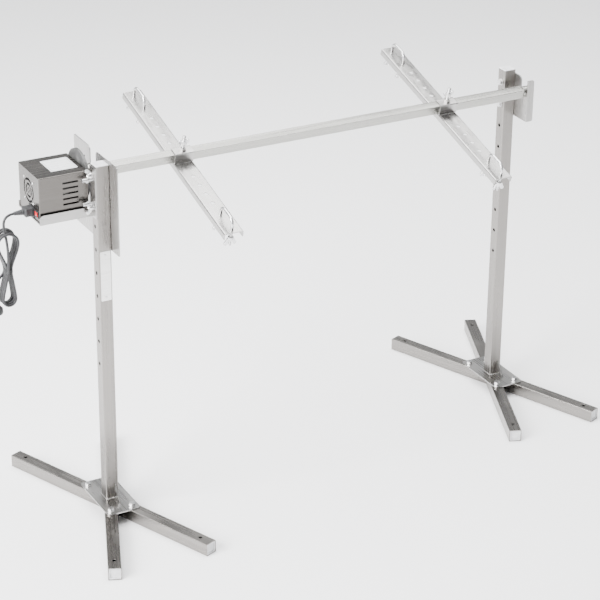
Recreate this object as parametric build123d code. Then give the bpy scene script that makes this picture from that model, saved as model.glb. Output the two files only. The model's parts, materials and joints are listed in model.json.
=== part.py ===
from build123d import *
import math
import os

# Whole-animal roasting spit: a motor stand and a tail stand carry a square spit bar.
# Two cross arms are clamped on the bar, and a U-bolt at each arm end holds a leg.
# Working frame: the origin is on the floor under the motor post, +X runs along the spit
# towards the tail stand, +Z is up.  The export moves everything so that the origin is
# at the middle of the footprint.

# ---- driving dimensions, mm ----
TUBE = 30.0                 # square tube of posts and legs
TUBE_WALL = 1.5
TUBE_ROUND = 2.0
LEG_REACH = 312.0           # post axis to leg end
LEG_ANGLE = 68.0            # each leg's angle from the spit direction
LEG_MITRE_GAP = 0.5
PEG_HOLE_REACH = 279.0
PEG_HOLE_R = 4.25
PLATE_X, PLATE_Y, PLATE_T = 81.0, 164.0, 3.0
PLATE_ROUND = 9.0
LEG_BOLT_REACH = 70.0
POST_TOP = 850.0
POST_HOLE_FIRST = 375.0
POST_HOLE_PITCH = 55.5
POST_HOLES = 9
NAME_PLATE_Z = 592.5
NAME_PLATE_T = 0.8
BOLT_R = 4.0                # M8 fasteners throughout
BOLT_HOLE_R = 4.25
RUN_CLEARANCE = 0.05        # radial, between turning parts
POST_SPAN = 1120.0          # motor post axis to tail post axis, along X
SPIT_BEHIND_MOTOR_POST = 72.0
SPIT_AHEAD_OF_TAIL_POST = 52.5
TAIL_POST_Y = SPIT_BEHIND_MOTOR_POST + SPIT_AHEAD_OF_TAIL_POST
SPIT_Y = SPIT_BEHIND_MOTOR_POST
SPIT_Z = 806.0
SPIT_TURN = 16.3            # the spit's turn at rest, degrees about +X
BAR = 22.0                  # square spit bar
BAR_START, BAR_END = -1.0, 1128.0
JOURNAL_R = 13.0
JOURNAL_END = 1147.0
SOCKET_R = 19.0
SOCKET_X0, SOCKET_X1 = -6.0, 12.0
SHAFT_R = 8.0
SHIELD_T = 2.0
SHIELD_Y0, SHIELD_Y1 = -58.0, 176.0
SHIELD_Z0, SHIELD_Z1 = 651.5, 858.0
SHIELD_SLOT = 32.0
SHIELD_SLOT_CENTRE = 798.0
BRACKET_T = 3.0
TRAY_Z = 730.0
TRAY_X0 = -138.0
TRAY_FLANGE = 22.0
TRAY_GAP = 4.0              # open gutter between the front flange and the cover
COVER_T = 1.2
COVER_X0, COVER_X1 = -136.0, -22.0
COVER_DEPTH = 115.0
COVER_TOP = 835.0
FAN_Z = 789.0
FAN_SLOTS = ((22.5, 28.0), (11.5, 17.0), (2.5, 6.5))
INLET_Y, INLET_Z = 58.0, 747.5
SWITCH_Y, SWITCH_Z = 30.0, 749.0
SWITCH_PIVOT_X = -134.0
CRADLE_Z0, CRADLE_Z1 = 733.5, 840.0
CRADLE_LIP = 18.0
ARM_X = (229.0, 916.0)      # where the cross arms stand along the bar
ARM_HALF = 272.0
ARM_W, ARM_H, ARM_T = 46.0, 15.0, 2.0
ARM_HOLES = (64.0, 97.0, 130.0, 163.0)
ARM_HOLE_R = 5.0
SLEEVE_GAP = 0.5
SLEEVE_T = 2.0
U_CENTRE = 232.0            # U-bolt's middle, from the spit axis along the arm
U_HALF = 28.0
U_ROD_R = 3.5
U_CORNER = 16.0
U_RISE = 27.0               # top of the arch above the arm's web
U_FOOT_Z = -56.0            # leg ends, from the spit axis
NUT_SEAT_Z = -33.3
CORD_R = 3.0

# ---- derived ----
COVER_Y0 = SPIT_Y - COVER_DEPTH / 2
COVER_Y1 = SPIT_Y + COVER_DEPTH / 2
COVER_Z0 = TRAY_Z + BRACKET_T
PLATE_TOP = TUBE + PLATE_T
HOLE_Z = [POST_HOLE_FIRST + i * POST_HOLE_PITCH for i in range(POST_HOLES)]
BRACKET_HOLE_Z = HOLE_Z[-2:]
RIVET_Z = (NAME_PLATE_Z - 50, NAME_PLATE_Z + 50)
WEB_TOP = -(BAR / 2 + SLEEVE_GAP + SLEEVE_T)
MOTOR_FOOT = (0.0, 0.0)
TAIL_FOOT = (POST_SPAN, TAIL_POST_Y)
LEGS = {
    "front_left": 180 + LEG_ANGLE,
    "front_right": -LEG_ANGLE,
    "back_left": 180 - LEG_ANGLE,
    "back_right": LEG_ANGLE,
}


# ---- helpers ----
def span_box(x0, x1, y0, y1, z0, z1):
    """A box between two corners."""
    centre = ((x0 + x1) / 2, (y0 + y1) / 2, (z0 + z1) / 2)
    return Pos(*centre) * Box(x1 - x0, y1 - y0, z1 - z0)


def rod_x(x0, x1, y, z, r):
    """A cylinder along X."""
    return Pos((x0 + x1) / 2, y, z) * Rot(0, 90, 0) * Cylinder(r, x1 - x0)


def rod_z(x, y, z0, z1, r):
    """A cylinder along Z."""
    return Pos(x, y, (z0 + z1) / 2) * Cylinder(r, z1 - z0)


def hex_x(x0, x1, y, z, across):
    """A hexagonal head or nut along X."""
    profile = RegularPolygon(across / 2, 6, major_radius=False)
    return Pos(x0, y, z) * Rot(0, 90, 0) * extrude(profile, x1 - x0)


def hex_z(x, y, z0, z1, across):
    """A hexagonal head or nut along Z."""
    return Pos(x, y, z0) * extrude(RegularPolygon(across / 2, 6, major_radius=False), z1 - z0)


def square_tube(length, size=TUBE, wall=TUBE_WALL, rounding=TUBE_ROUND):
    """A square tube along Z from the origin."""
    outer = RectangleRounded(size, size, rounding)
    inner_round = max(rounding - wall, 0.4)
    inner = RectangleRounded(size - 2 * wall, size - 2 * wall, inner_round)
    return extrude(outer - inner, length)


def plate_yz(sketch, x0, thickness):
    """Stands a (Y, Z) outline up as a plate from x0 towards +X."""
    upright = Plane(origin=(x0, 0, 0), x_dir=(0, 1, 0), z_dir=(1, 0, 0))
    return extrude(upright * sketch, thickness)


def wing_blades(axis_gap, reach, low, high, thickness):
    """Two flat wings either side of the Z axis, rising outwards from low to high."""
    outline = Polyline(
        (axis_gap, low),
        (reach * 0.7, low + (high - low) * 0.3),
        (reach, high),
        (reach * 0.66, high + 1.0),
        (axis_gap, low + (high - low) * 0.62),
        close=True,
    )
    blade = extrude(Plane.XZ * make_face(outline), thickness / 2, both=True)
    return [blade, Rot(0, 0, 180) * blade]


def wing_nut(bore_r, hub_r, hub_height, reach, height):
    """A wing nut on the Z axis, its seat at z = 0 and its wings pointing up."""
    nut = Cylinder(hub_r, hub_height, align=(Align.CENTER, Align.CENTER, Align.MIN))
    nut += Pos(0, 0, hub_height) * Cone(
        hub_r, hub_r * 0.75, hub_height * 0.35, align=(Align.CENTER, Align.CENTER, Align.MIN)
    )
    for blade in wing_blades(hub_r * 0.6, reach, hub_height * 0.55, height, 3.2):
        nut += blade
    return nut - Cylinder(bore_r, 4 * height)


def on_spit(part, x=0.0):
    """Places a part drawn about the spit axis at its X and at the rest turn."""
    return Pos(x, SPIT_Y, SPIT_Z) * Rot(SPIT_TURN, 0, 0) * part


# ---- stands ----
def leg(foot, angle):
    """One leg tube, mitred against the other three under the base plate."""
    tube = Rot(0, 90, 0) * square_tube(LEG_REACH + TUBE)
    tube = Rot(0, 0, angle) * Pos(-TUBE, 0, TUBE / 2) * tube
    sign_x = 1 if math.cos(math.radians(angle)) > 0 else -1
    sign_y = 1 if math.sin(math.radians(angle)) > 0 else -1
    corner = (LEG_MITRE_GAP + LEG_REACH, LEG_MITRE_GAP + LEG_REACH)
    quadrant = Pos(sign_x * corner[0], sign_y * corner[1], 0) * Box(
        2 * LEG_REACH, 2 * LEG_REACH, 4 * TUBE
    )
    tube &= quadrant
    for reach, bottom in ((PEG_HOLE_REACH, -1), (LEG_BOLT_REACH, TUBE / 2)):
        x = reach * math.cos(math.radians(angle))
        y = reach * math.sin(math.radians(angle))
        tube -= rod_z(x, y, bottom, TUBE + 1, PEG_HOLE_R)
    return Pos(foot[0], foot[1], 0) * tube


def leg_plugs():
    """Push-in end plugs with a dished face, one for each leg end."""
    inner = TUBE - 2 * TUBE_WALL - 0.2
    depth, inset = 14.0, 1.0
    body = extrude(RectangleRounded(inner, inner, 1.5), depth)
    dish = Pos(0, 0, depth - 2) * extrude(RectangleRounded(inner - 6, inner - 6, 2.5), 3)
    plug = body - dish
    plugs = []
    for foot in (MOTOR_FOOT, TAIL_FOOT):
        for angle in LEGS.values():
            start = LEG_REACH - inset - depth
            along = Rot(0, 0, angle) * Pos(start, 0, TUBE / 2) * Rot(0, 90, 0) * plug
            plugs.append(Pos(foot[0], foot[1], 0) * along)
    return plugs


def leg_bolts():
    """One bolt and captive nut for each leg, through the base plate."""
    bolts = []
    for foot in (MOTOR_FOOT, TAIL_FOOT):
        for angle in LEGS.values():
            x = foot[0] + LEG_BOLT_REACH * math.cos(math.radians(angle))
            y = foot[1] + LEG_BOLT_REACH * math.sin(math.radians(angle))
            bolt = rod_z(x, y, PLATE_TOP, PLATE_TOP + 1.6, 8.0)
            bolt += hex_z(x, y, PLATE_TOP + 1.6, PLATE_TOP + 6.5, 13.0)
            bolt += rod_z(x, y, TUBE - 14, PLATE_TOP, BOLT_R)
            bolt += hex_z(x, y, TUBE - TUBE_WALL - 6.5, TUBE - TUBE_WALL, 13.0)
            bolts.append(bolt)
    return bolts


def base_plate(foot):
    plate = Pos(0, 0, TUBE) * extrude(RectangleRounded(PLATE_X, PLATE_Y, PLATE_ROUND), PLATE_T)
    for angle in LEGS.values():
        x = LEG_BOLT_REACH * math.cos(math.radians(angle))
        y = LEG_BOLT_REACH * math.sin(math.radians(angle))
        plate -= rod_z(x, y, TUBE - 1, PLATE_TOP + 1, BOLT_HOLE_R)
    return Pos(foot[0], foot[1], 0) * plate


def post(foot):
    tube = Pos(0, 0, PLATE_TOP) * square_tube(POST_TOP - PLATE_TOP)
    for z in HOLE_Z:
        tube -= rod_x(-TUBE, TUBE, 0, z, BOLT_HOLE_R)
    return Pos(foot[0], foot[1], 0) * tube


def post_caps():
    inner = TUBE - 2 * TUBE_WALL - 0.2
    lid = extrude(RectangleRounded(TUBE, TUBE, TUBE_ROUND), 2.0)
    lid = chamfer(lid.edges().group_by(Axis.Z)[-1], 0.8)
    skirt = Pos(0, 0, -12) * extrude(RectangleRounded(inner, inner, 1.0), 12)
    cap = lid + (skirt - Pos(0, 0, -7) * Box(inner - 3, inner - 3, 12))
    return [Pos(f[0], f[1], POST_TOP) * cap for f in (MOTOR_FOOT, TAIL_FOOT)]


def gussets():
    """Triangular webs between each post and its base plate."""
    reach, height, thickness, offset = 26.0, 36.0, 3.0, 6.0
    outline = Polyline((0, 0), (reach, 0), (reach, 4), (4, height), (0, height), close=True)
    web = plate_yz(make_face(outline), offset - thickness / 2, thickness)
    webs = []
    for foot in (MOTOR_FOOT, TAIL_FOOT):
        back = Pos(foot[0], foot[1] + TUBE / 2, PLATE_TOP) * web
        front = Pos(foot[0], foot[1] - TUBE / 2, PLATE_TOP) * mirror(web, Plane.XZ)
        webs += [back, front]
    return webs


def name_plate():
    plate = Plane.XZ * RectangleRounded(24, 118, 2)
    plate = Pos(0, -TUBE / 2, NAME_PLATE_Z) * extrude(plate, NAME_PLATE_T)
    for z in RIVET_Z:
        plate -= Pos(0, -TUBE / 2, z) * Rot(90, 0, 0) * Cylinder(1.7, 4)
    return plate


def name_plate_rivets():
    rivets = []
    base = (Align.CENTER, Align.CENTER, Align.MIN)
    for z in RIVET_Z:
        shank = Cylinder(1.6, NAME_PLATE_T, align=base)
        head = Pos(0, 0, NAME_PLATE_T) * Cylinder(2.8, 0.9, align=base)
        rivets.append(Pos(0, -TUBE / 2, z) * Rot(90, 0, 0) * (shank + head))
    return rivets


# ---- motor carriage ----
def heat_shield():
    """Sheet steel shield with an open slot that the spit drops into."""
    width, height = SHIELD_Y1 - SHIELD_Y0, SHIELD_Z1 - SHIELD_Z0
    middle = ((SHIELD_Y0 + SHIELD_Y1) / 2, (SHIELD_Z0 + SHIELD_Z1) / 2)
    outline = Pos(*middle) * RectangleRounded(width, height, 4)
    slot_height = SHIELD_Z1 - SHIELD_SLOT_CENTRE
    outline -= Pos(SPIT_Y, SHIELD_SLOT_CENTRE + slot_height) * Rectangle(
        SHIELD_SLOT, 2 * slot_height
    )
    outline -= Pos(SPIT_Y, SHIELD_SLOT_CENTRE) * Circle(SHIELD_SLOT / 2)
    mouth = [
        v for v in outline.vertices()
        if abs(v.Y - SHIELD_Z1) < 0.1 and abs(abs(v.X - SPIT_Y) - SHIELD_SLOT / 2) < 0.1
    ]
    outline = fillet(mouth, 9)
    for z in BRACKET_HOLE_Z:
        outline -= Pos(0, z) * Circle(BOLT_HOLE_R)
    return plate_yz(outline, TUBE / 2, SHIELD_T)


def tray_bracket():
    """The motor's tray: floor, front flange, low end flange and the strap on the post."""
    x_strap = -TUBE / 2 - BRACKET_T
    front = COVER_Y0 - TRAY_GAP
    floor = span_box(TRAY_X0, -TUBE / 2, front - BRACKET_T, COVER_Y1 + 3, TRAY_Z, COVER_Z0)
    top = TRAY_Z + TRAY_FLANGE
    flange = Plane.XZ * make_face(Polyline(
        (TRAY_X0, TRAY_Z), (TRAY_X0, top), (-38, top), (-22, top - 12), (x_strap, top - 12),
        (x_strap, TRAY_Z), close=True,
    ))
    flange = Pos(0, front, 0) * extrude(flange, BRACKET_T)
    corner = flange.edges().filter_by(Axis.Y).sort_by_distance((TRAY_X0, front, top))[0]
    flange = fillet(corner, 8)
    strap = span_box(x_strap, -TUBE / 2, -TUBE / 2, COVER_Y0, TRAY_Z, 847)
    end_flange = span_box(x_strap, -TUBE / 2, COVER_Y0, COVER_Y1 + 3, TRAY_Z, TRAY_Z + 14)
    back_flange = span_box(TRAY_X0, -TUBE / 2, COVER_Y1 + 0.4, COVER_Y1 + 3, TRAY_Z, TRAY_Z + 14)
    bracket = floor + flange + strap + end_flange + back_flange
    for z in BRACKET_HOLE_Z:
        bracket -= rod_x(x_strap - 1, -TUBE / 2 + 1, 0, z, BOLT_HOLE_R)
    return bracket


def bracket_bolts():
    """Bolts through shield, post and strap on the motor side."""
    bolts = []
    face = TUBE / 2 + SHIELD_T
    for z in BRACKET_HOLE_Z:
        bolt = rod_x(face, face + 1.6, 0, z, 8.0) + hex_x(face + 1.6, face + 6.8, 0, z, 13.0)
        bolts.append(bolt + rod_x(-42, face, 0, z, BOLT_R))
    return bolts


def bracket_wing_nuts():
    nuts = []
    for z in BRACKET_HOLE_Z:
        nut = wing_nut(BOLT_R, 7.0, 8.0, 16.0, 17.0)
        seat = -TUBE / 2 - BRACKET_T
        nuts.append(Pos(seat, 0, z) * Rot(0, -90, 0) * nut)
    return nuts


def grille_slots(sketch):
    """Cuts the concentric fan slots, bridged by four spokes."""
    spokes = Rot(0, 0, 45) * (Rectangle(80, 2.4) + Rectangle(2.4, 80))
    for inner, outer in FAN_SLOTS:
        sketch -= (Circle(outer) - Circle(inner)) - spokes
    return sketch


def motor_cover():
    """Five-sided sheet box over the motor, open underneath, where the tray closes it."""
    outer = span_box(COVER_X0, COVER_X1, COVER_Y0, COVER_Y1, COVER_Z0, COVER_TOP)
    outer = fillet(outer.edges().filter_by(Axis.Z) + outer.edges().group_by(Axis.Z)[-1], 1.5)
    t = COVER_T
    cover = outer - span_box(
        COVER_X0 + t, COVER_X1 - t, COVER_Y0 + t, COVER_Y1 - t, COVER_Z0 - 1, COVER_TOP - t
    )
    grille = Circle(28.5) - grille_slots(Circle(28.5))
    cover -= Pos(0, SPIT_Y + 1, FAN_Z) * plate_yz(grille, COVER_X0 - 1, 3)
    cover -= span_box(COVER_X0 - 1, COVER_X0 + 3, INLET_Y - 13.6, INLET_Y + 13.6,
                      INLET_Z - 10.1, INLET_Z + 10.1)
    cover -= span_box(COVER_X0 - 1, COVER_X0 + 3, SWITCH_Y - 9.6, SWITCH_Y + 9.6,
                      SWITCH_Z - 6.6, SWITCH_Z + 6.6)
    for i in range(5):
        z = 766 + 12.2 * i
        cover -= span_box(-81, -45, COVER_Y0 - 1, COVER_Y0 + 3, z - 2, z + 2)
        cover -= span_box(-81, -45, COVER_Y1 - 3, COVER_Y1 + 1, z - 2, z + 2)
    cover -= rod_x(COVER_X1 - 3, COVER_X1 + 1, SPIT_Y, SPIT_Z, 22)
    return cover


def gearbox():
    """Reduction gearbox on the spit axis, its nose standing through the cover's end."""
    body = span_box(-72, COVER_X1 - COVER_T, SPIT_Y - 30, SPIT_Y + 30, SPIT_Z - 26, SPIT_Z + 26)
    body = fillet(body.edges().filter_by(Axis.X), 6)
    nose = rod_x(COVER_X1 - COVER_T, COVER_X1, SPIT_Y, SPIT_Z, 21.8)
    return body + nose - rod_x(-40, 0, SPIT_Y, SPIT_Z, SHAFT_R + RUN_CLEARANCE)


def gearbox_flange():
    """Round ribbed flange outside the cover, which guards the drive."""
    disc = rod_x(COVER_X1, -16, SPIT_Y, SPIT_Z, 57)
    disc += rod_x(-16, -9, SPIT_Y, SPIT_Z, 20)
    for i in range(8):
        rib = span_box(-16, -12, -1.5, 1.5, 19, 54)
        disc += Pos(0, SPIT_Y, SPIT_Z) * Rot(45 * i + 22.5, 0, 0) * rib
    disc = disc & span_box(COVER_X1, 0, COVER_Y0 + 0.5, COVER_Y1, TRAY_Z + 15, SPIT_Z + 60)
    return disc - rod_x(-40, 0, SPIT_Y, SPIT_Z, SHAFT_R + RUN_CLEARANCE)


def gearbox_mount():
    """Two folded feet that stand the gearbox on the tray."""
    feet = []
    for y in (SPIT_Y - 22, SPIT_Y + 22):
        foot = span_box(-70, -30, y - 8, y + 8, COVER_Z0, COVER_Z0 + 3)
        foot += span_box(-70, -30, y - 1.5, y + 1.5, COVER_Z0, SPIT_Z - 26)
        feet.append(foot)
    return feet


def drive_motor():
    can = rod_x(-116, -76, SPIT_Y, FAN_Z, 24)
    can = fillet(can.edges().sort_by(Axis.X)[0], 3)
    return can + rod_x(-76, -72, SPIT_Y, FAN_Z, 18)


def fan_frame():
    """Square fan housing behind the grille, with a hub carried on three arms."""
    x0, x1 = COVER_X0 + COVER_T, -120
    frame = span_box(x0, x1, SPIT_Y + 1 - 30, SPIT_Y + 1 + 30, FAN_Z - 30, FAN_Z + 30)
    frame = fillet(frame.edges().filter_by(Axis.X), 4)
    frame -= rod_x(x0 - 1, x1 + 1, SPIT_Y + 1, FAN_Z, 28)
    frame += rod_x(x1 - 3, x1, SPIT_Y + 1, FAN_Z, 12)
    for i in range(3):
        arm = span_box(x1 - 3, x1, -2, 2, 8, 29)
        frame += Pos(0, SPIT_Y + 1, FAN_Z) * Rot(120 * i + 60, 0, 0) * arm
    return frame - rod_x(x1 - 8, x1 + 1, SPIT_Y + 1, FAN_Z, 2 + RUN_CLEARANCE)


def cooling_fan():
    """Five-blade rotor with its spindle."""
    x0, x1 = -133.5, -124.0
    rotor = rod_x(x0, x1, 0, 0, 11)
    for i in range(5):
        blade = Pos((x0 + x1) / 2, 0, 17.5) * Rot(0, 0, 38) * Box(1.6, 11, 15)
        rotor += Rot(72 * i, 0, 0) * blade
    rotor += rod_x(x1, -120.5, 0, 0, 2)
    return Pos(0, SPIT_Y + 1, FAN_Z) * rotor


def fan_screws():
    """Four pan-head screws that hold the fan to the cover."""
    screws = []
    for dy, dz in ((-24, -24), (24, -24), (-24, 24), (24, 24)):
        y, z = SPIT_Y + 1 + dy, FAN_Z + dz
        screw = rod_x(COVER_X0 - 1.6, COVER_X0, y, z, 3.0)
        screws.append(screw)
    return screws


def rating_sticker():
    sticker = extrude(RectangleRounded(62, 66, 3), 0.3)
    return Pos(-64, SPIT_Y + 2, COVER_TOP) * sticker


def power_inlet():
    """Mains inlet: flange on the cover's end, open cavity and three contact pins."""
    x_face = COVER_X0 - 1.6
    inlet = span_box(x_face, COVER_X0, INLET_Y - 15.5, INLET_Y + 15.5, INLET_Z - 11.5, INLET_Z + 11.5)
    inlet += span_box(COVER_X0, -114, INLET_Y - 13.4, INLET_Y + 13.4, INLET_Z - 9.9, INLET_Z + 9.9)
    inlet -= span_box(x_face - 1, -120, INLET_Y - 12.2, INLET_Y + 12.2, INLET_Z - 8.2, INLET_Z + 8.2)
    for dy, dz in ((-7, -1.5), (7, -1.5), (0, 2.5)):
        inlet += span_box(-128, -119, INLET_Y + dy - 1, INLET_Y + dy + 1,
                          INLET_Z + dz - 2, INLET_Z + dz + 2)
    return inlet


def switch_housing():
    x_face = COVER_X0 - 1.6
    body = span_box(x_face, COVER_X0, SWITCH_Y - 10.6, SWITCH_Y + 10.6, SWITCH_Z - 7.6, SWITCH_Z + 7.6)
    body += span_box(COVER_X0, -122, SWITCH_Y - 9.4, SWITCH_Y + 9.4, SWITCH_Z - 6.4, SWITCH_Z + 6.4)
    body -= span_box(x_face - 1, -126, SWITCH_Y - 8.4, SWITCH_Y + 8.4,
                     SWITCH_Z - 5.0, SWITCH_Z + 5.0)
    sockets = rod_z(SWITCH_PIVOT_X, SWITCH_Y, SWITCH_Z - 6.1, SWITCH_Z + 6.1,
                    1.0 + RUN_CLEARANCE)
    return body - sockets


def switch_rocker():
    """Rocker cap that tips about a vertical axis inside the housing."""
    tip = SWITCH_PIVOT_X - 5.6
    outline = make_face(Polyline(
        (tip, -7), (tip + 2.4, 0), (tip + 1.4, 7), (tip + 7.1, 6), (tip + 9.1, 0),
        (tip + 7.1, -6), close=True,
    ))
    cap = Pos(0, SWITCH_Y, SWITCH_Z - 4.6) * extrude(outline, 9.2)
    return cap + rod_z(SWITCH_PIVOT_X, SWITCH_Y, SWITCH_Z - 5.9, SWITCH_Z + 5.9, 1.0)


# ---- spit ----
def drive_socket():
    """Output shaft with a square socket for the bar."""
    socket = rod_x(SOCKET_X0, SOCKET_X1, 0, 0, SOCKET_R) + rod_x(-38, SOCKET_X0, 0, 0, SHAFT_R)
    hole = span_box(BAR_START - 1, SOCKET_X1 + 1, -BAR / 2 - 0.2, BAR / 2 + 0.2,
                    -BAR / 2 - 0.2, BAR / 2 + 0.2)
    return on_spit(socket - hole)


def spit_bar():
    bar = span_box(BAR_START, BAR_END, -BAR / 2, BAR / 2, -BAR / 2, BAR / 2)
    return on_spit(fillet(bar.edges().filter_by(Axis.X), 1.0))


def tail_journal():
    """Round hub on the bar's end that turns in the tail cradle."""
    journal = rod_x(BAR_END, JOURNAL_END, 0, 0, JOURNAL_R)
    return on_spit(chamfer(journal.edges().sort_by(Axis.X)[-1], 1.0))


def arm_channel():
    """Inverted-U cross arm, pierced along its web."""
    outer = span_box(-ARM_W / 2, ARM_W / 2, -ARM_HALF, ARM_HALF, WEB_TOP - ARM_H, WEB_TOP)
    top_edges = outer.edges().filter_by(Axis.Y).group_by(Axis.Z)[-1]
    outer = fillet(top_edges, 3)
    inner = span_box(-ARM_W / 2 + ARM_T, ARM_W / 2 - ARM_T, -ARM_HALF - 1, ARM_HALF + 1,
                     WEB_TOP - ARM_H - 1, WEB_TOP - ARM_T)
    channel = outer - inner
    for y in ARM_HOLES:
        for side in (-1, 1):
            channel -= rod_z(0, side * y, WEB_TOP - 5, WEB_TOP + 1, ARM_HOLE_R)
    for centre in (-U_CENTRE, U_CENTRE):
        for y in (centre - U_HALF, centre + U_HALF):
            channel -= rod_z(0, y, WEB_TOP - 5, WEB_TOP + 1, U_ROD_R + RUN_CLEARANCE)
    return channel


def sleeve():
    """Square sleeve on the arm's web, with a welded nut for the wing screw."""
    inner = BAR + 2 * SLEEVE_GAP
    outer = inner + 2 * SLEEVE_T
    x0 = -ARM_W / 2
    tube = Pos(x0, 0, 0) * Rot(0, 90, 0) * square_tube(ARM_W, outer, SLEEVE_T, 2.5)
    tube += hex_z(0, 0, outer / 2, outer / 2 + 7, 14.0)
    return tube - rod_z(0, 0, 0, outer / 2 + 10, BOLT_R + RUN_CLEARANCE)


def wing_screw():
    """Screw that locks the sleeve on the bar."""
    shank = rod_z(0, 0, BAR / 2 + 0.1, 50, BOLT_R)
    hub = rod_z(0, 0, 26, 35, 6.5)
    for blade in wing_blades(2.5, 14.0, 28.0, 40.0, 3.2):
        hub += blade
    return shank + hub


def u_bolt(centre):
    """Round-rod U-bolt standing on the web along the arm."""
    near, far = centre - U_HALF, centre + U_HALF
    top = WEB_TOP + U_RISE - U_ROD_R
    bend = U_CORNER
    path = Line((near, U_FOOT_Z), (near, top - bend))
    path += RadiusArc((near, top - bend), (near + bend, top), bend)
    path += Line((near + bend, top), (far - bend, top))
    path += RadiusArc((far - bend, top), (far, top - bend), bend)
    path += Line((far, top - bend), (far, U_FOOT_Z))
    path = Plane.YZ * path
    start = Plane(origin=(0, near, U_FOOT_Z), z_dir=(0, 0, 1))
    return sweep(start * Circle(U_ROD_R), path=path)


def u_bolt_nut(y):
    nut = wing_nut(U_ROD_R + RUN_CLEARANCE, 6.5, 8.0, 15.5, 22.0)
    return Pos(0, y, NUT_SEAT_Z) * Rot(180, 0, 0) * nut


# ---- tail carriage ----
def cradle():
    """Open-topped cradle plate for the journal, with a bent lip at its outer edge."""
    outer_edge = -SPIT_AHEAD_OF_TAIL_POST - JOURNAL_R - 0.6
    width = TUBE / 2 - outer_edge
    middle = (TUBE / 2 + outer_edge) / 2
    outline = Pos(middle, (CRADLE_Z0 + CRADLE_Z1) / 2) * Rectangle(width, CRADLE_Z1 - CRADLE_Z0)
    notch_y, notch_r = -SPIT_AHEAD_OF_TAIL_POST, JOURNAL_R + RUN_CLEARANCE
    outline -= Pos(notch_y, SPIT_Z) * Circle(notch_r)
    outline -= Pos(notch_y, SPIT_Z + 50) * Rectangle(2 * notch_r, 100)
    outline -= Pos(notch_y - notch_r, SPIT_Z + 50) * Rectangle(4, 100)
    mouth = [
        v for v in outline.vertices()
        if abs(v.Y - CRADLE_Z1) < 0.1 and abs(v.X - notch_y - notch_r) < 0.1
    ]
    outline = fillet(mouth, 10)
    for z in BRACKET_HOLE_Z:
        outline -= Pos(0, z) * Circle(BOLT_HOLE_R)
    plate = plate_yz(outline, TUBE / 2, BRACKET_T)
    lip = span_box(TUBE / 2, TUBE / 2 + CRADLE_LIP, outer_edge - BRACKET_T, outer_edge,
                   CRADLE_Z0, CRADLE_Z1 - 3)
    lip = fillet(lip.edges().filter_by(Axis.Y).group_by(Axis.X)[-1], 5)
    return Pos(TAIL_FOOT[0], TAIL_FOOT[1], 0) * (plate + lip)


def cradle_bolts():
    bolts = []
    head, face = -TUBE / 2, TUBE / 2 + BRACKET_T
    for z in BRACKET_HOLE_Z:
        bolt = rod_x(head - 1.6, head, 0, z, 8.0) + hex_x(head - 6.8, head - 1.6, 0, z, 13.0)
        bolt += rod_x(head, face + 12, 0, z, BOLT_R) + hex_x(face, face + 7, 0, z, 13.0)
        bolts.append(Pos(TAIL_FOOT[0], TAIL_FOOT[1], 0) * bolt)
    return bolts


# ---- cord ----
PLUG_END_X = -178.0
LEAD = [                    # (x, z) in the plane y = INLET_Y, from the plug to the hank
    (PLUG_END_X, INLET_Z), (-186.1, INLET_Z), (-193.6, 744.4), (-199.4, 738.6), (-202.5, 731.1),
    (-202.9, 723), (-202.2, 715),
]
HANK_TAIL = [               # from the hank's side to the mains plug
    (-203, 604), (-212.5, 601.5), (-221, 596), (-227.5, 588.2), (-231, 579), (-232, 569),
    (-232, 560),
]
HANK_X = -197.0
HANK_SECTIONS = (           # (z, half width in X, half depth in Y) of the bundled cord
    (530, 6, 5), (545, 14, 10), (580, 13, 11), (617, 11, 10), (650, 22, 13), (680, 26, 13),
    (702, 20, 11), (715, 9, 8),
)


def cord_tube(points):
    """A tube along straight runs joined by tangent arcs, in the plane y = INLET_Y."""
    vectors = [Vector(x, INLET_Y, z) for x, z in points]
    radii = []
    for a, b, c in zip(vectors, vectors[1:], vectors[2:]):
        turn = math.radians((b - a).get_angle(c - b))
        radii.append(0.45 * min((b - a).length, (c - b).length) / math.tan(turn / 2))
    print("cord radii", [round(r, 1) for r in radii])
    path = FilletPolyline(*vectors, radius=radii)
    start = Plane(origin=vectors[0], z_dir=vectors[1] - vectors[0])
    tube = sweep(start * Circle(CORD_R), path=path)
    print("cord tube", round(tube.volume / (math.pi * CORD_R**2 * path.length), 4), round(path.length))
    return tube


def appliance_plug():
    """Moulded connector in the inlet, with its tapered strain relief."""
    x_face = COVER_X0 - 1.6
    body_x = x_face - 18
    plug = span_box(body_x, x_face, INLET_Y - 13.5, INLET_Y + 13.5, INLET_Z - 10, INLET_Z + 10)
    plug = fillet(plug.edges().filter_by(Axis.X), 3)
    plug += span_box(x_face, -129, INLET_Y - 11.8, INLET_Y + 11.8, INLET_Z - 7.8, INLET_Z + 7.8)
    relief = Pos(PLUG_END_X, INLET_Y, INLET_Z) * Rot(0, 90, 0) * Cone(
        CORD_R + 1.2, 7.0, body_x - PLUG_END_X, align=(Align.CENTER, Align.CENTER, Align.MIN)
    )
    return plug + relief


def cord_hank():
    """Closed outer shape of the tied, hanging hank."""
    sections = []
    for z, half_x, half_y in HANK_SECTIONS:
        sections.append(Pos(HANK_X, INLET_Y, z) * Ellipse(half_x, half_y))
    return loft(sections)


def mains_plug():
    """Round two-pin plug on the cord's far end, pins down."""
    x, z = HANK_TAIL[-1]
    plug = Pos(x, INLET_Y, z - 20) * Cone(11, CORD_R + 1.4, 20, align=(Align.CENTER, Align.CENTER, Align.MIN))
    plug += rod_z(x, INLET_Y, z - 38, z - 20, 17.5)
    for dy in (-9.5, 9.5):
        plug += rod_z(x, INLET_Y + dy, z - 57, z - 38, 2.4)
    return plug


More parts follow.
